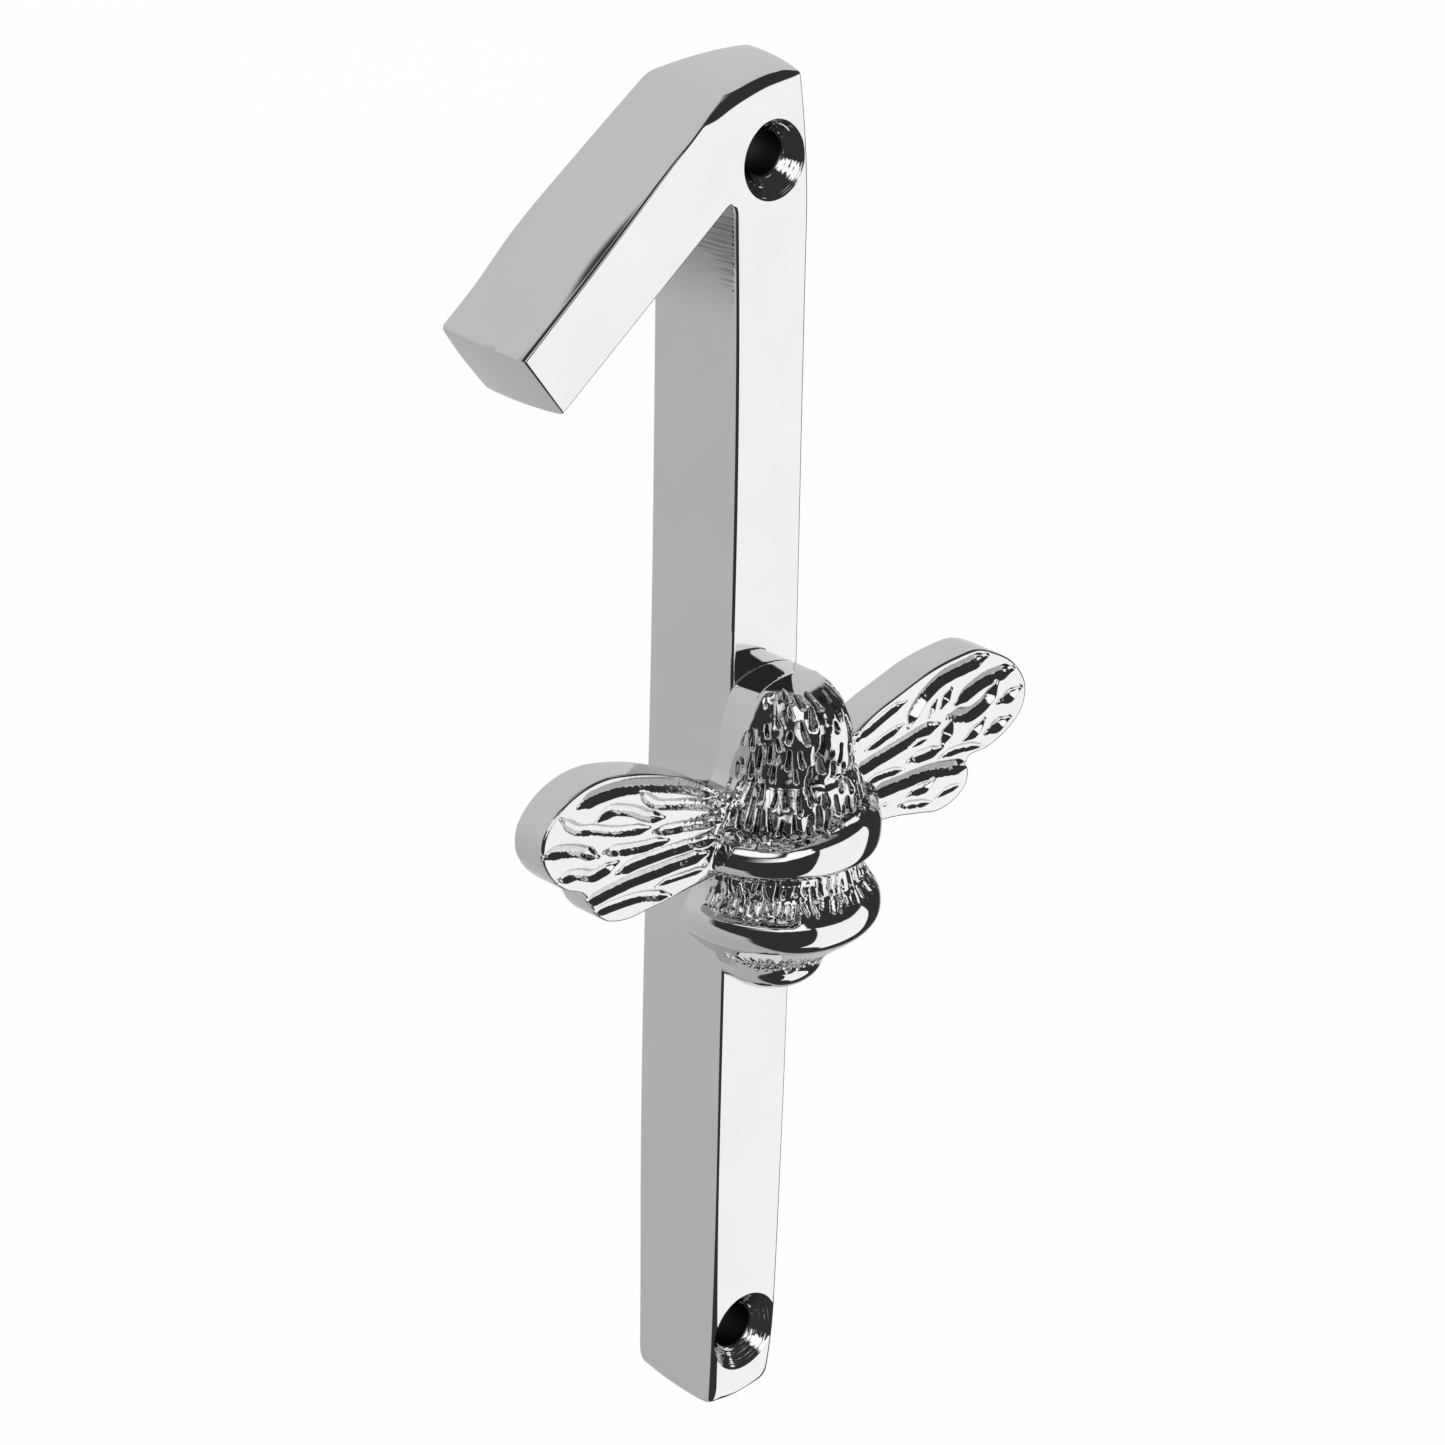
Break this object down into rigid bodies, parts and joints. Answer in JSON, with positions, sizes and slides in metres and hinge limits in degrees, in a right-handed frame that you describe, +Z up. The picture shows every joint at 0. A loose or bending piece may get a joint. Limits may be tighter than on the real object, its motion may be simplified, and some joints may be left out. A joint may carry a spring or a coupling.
{
  "type": "house number",
  "caption": "Door or wall number, a chrome-plated figure 1 with a bumblebee ornament on its stem, screwed on from the front through a countersunk hole near each end.",
  "frame": {"origin": "on the wall plane, midway between the two wall-screw holes", "axes": "+Z up along the stem, +Y into the wall, +X to the reader's right"},
  "size_m": [0.0686, 0.0248, 0.1499],
  "materials": {
    "plated_numeral": "bright chrome plate over hand-polished cast brass",
    "plated_bee": "bright chrome plate, polished on the high spots, left as cast in the hollows",
    "zinc_plated_steel": "zinc-plated steel"
  },
  "bodies": {
    "root": {"numeral_casting": "plated_numeral", "bee_casting": "plated_bee", "bee_fixing_screws": "zinc_plated_steel", "bee_lock_washers": "zinc_plated_steel"}
  },
  "joints": []
}
